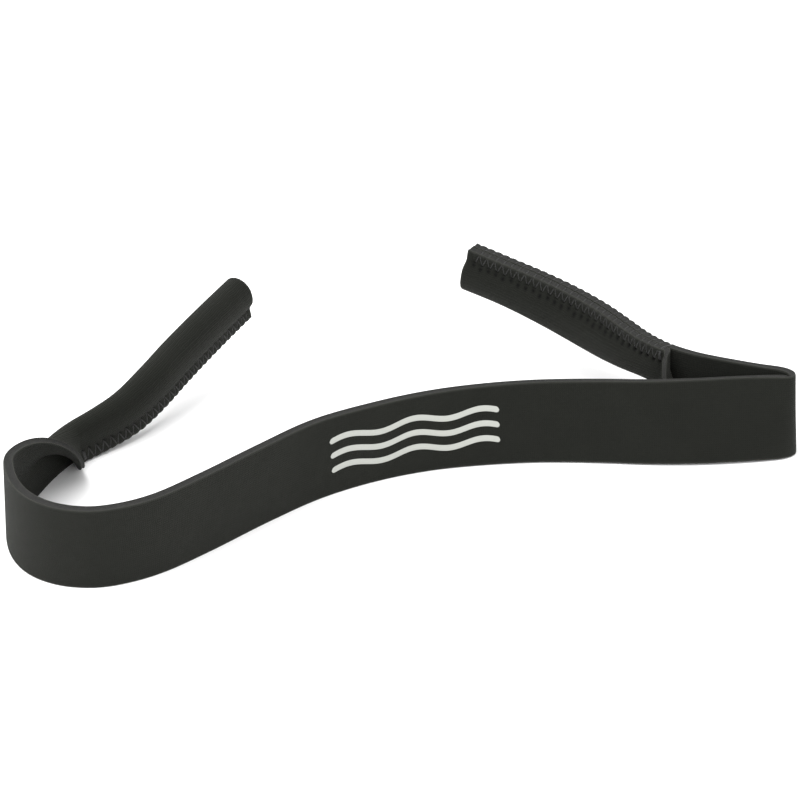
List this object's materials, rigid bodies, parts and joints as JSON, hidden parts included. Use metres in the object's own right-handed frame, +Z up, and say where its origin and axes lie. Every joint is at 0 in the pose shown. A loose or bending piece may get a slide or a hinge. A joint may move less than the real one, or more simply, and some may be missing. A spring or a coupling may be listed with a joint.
{
  "type": "eyeglass retainer strap",
  "caption": "Foam and jersey eyeglass retainer strap: a flat strip standing on edge in a loop, its ends folded and zigzag-stitched into sleeves that grip temple tips.",
  "frame": {"origin": "middle of the loop's bounding box, on the surface that the strap stands on", "axes": "+X along the front of the loop, towards the right turn; -Y towards the printed front; +Z up"},
  "size_m": [0.1834, 0.1078, 0.03],
  "materials": {
    "jersey": "near-black nylon jersey knit, matt with a soft sheen at grazing angles",
    "foam": "black closed-cell rubber foam, fine open pores on the cut edges",
    "ink": "light grey screen-printed ink that follows the knit",
    "thread": "black twisted polyester sewing thread"
  },
  "bodies": {
    "band": {"band_foam_core": "foam", "band_outer_jersey": "jersey", "band_inner_jersey": "jersey", "printed_waves": "ink"},
    "left_arm": {"left_sleeve_foam_core": "foam", "left_sleeve_outer_jersey": "jersey", "left_sleeve_lining": "jersey", "left_seam_needle_thread": "thread", "left_seam_bobbin_thread": "thread"},
    "right_arm": {"right_sleeve_foam_core": "foam", "right_sleeve_outer_jersey": "jersey", "right_sleeve_lining": "jersey", "right_seam_needle_thread": "thread", "right_seam_bobbin_thread": "thread"}
  },
  "joints": [
    {"name": "left_flex", "type": "hinge", "parent": "band", "child": "left_arm", "pos_m": [-0.09056, -0.03049, 0.00012], "axis": [0.1043, 0.0063, 0.9945], "range_deg": [-12, 38], "stiffness_Nm_per_rad": 0.0018},
    {"name": "right_flex", "type": "hinge", "parent": "band", "child": "right_arm", "pos_m": [0.08274, -0.00744, 0.00013], "axis": [-0.0373, -0.116, -0.9925], "range_deg": [-6, 38], "stiffness_Nm_per_rad": 0.0018}
  ]
}
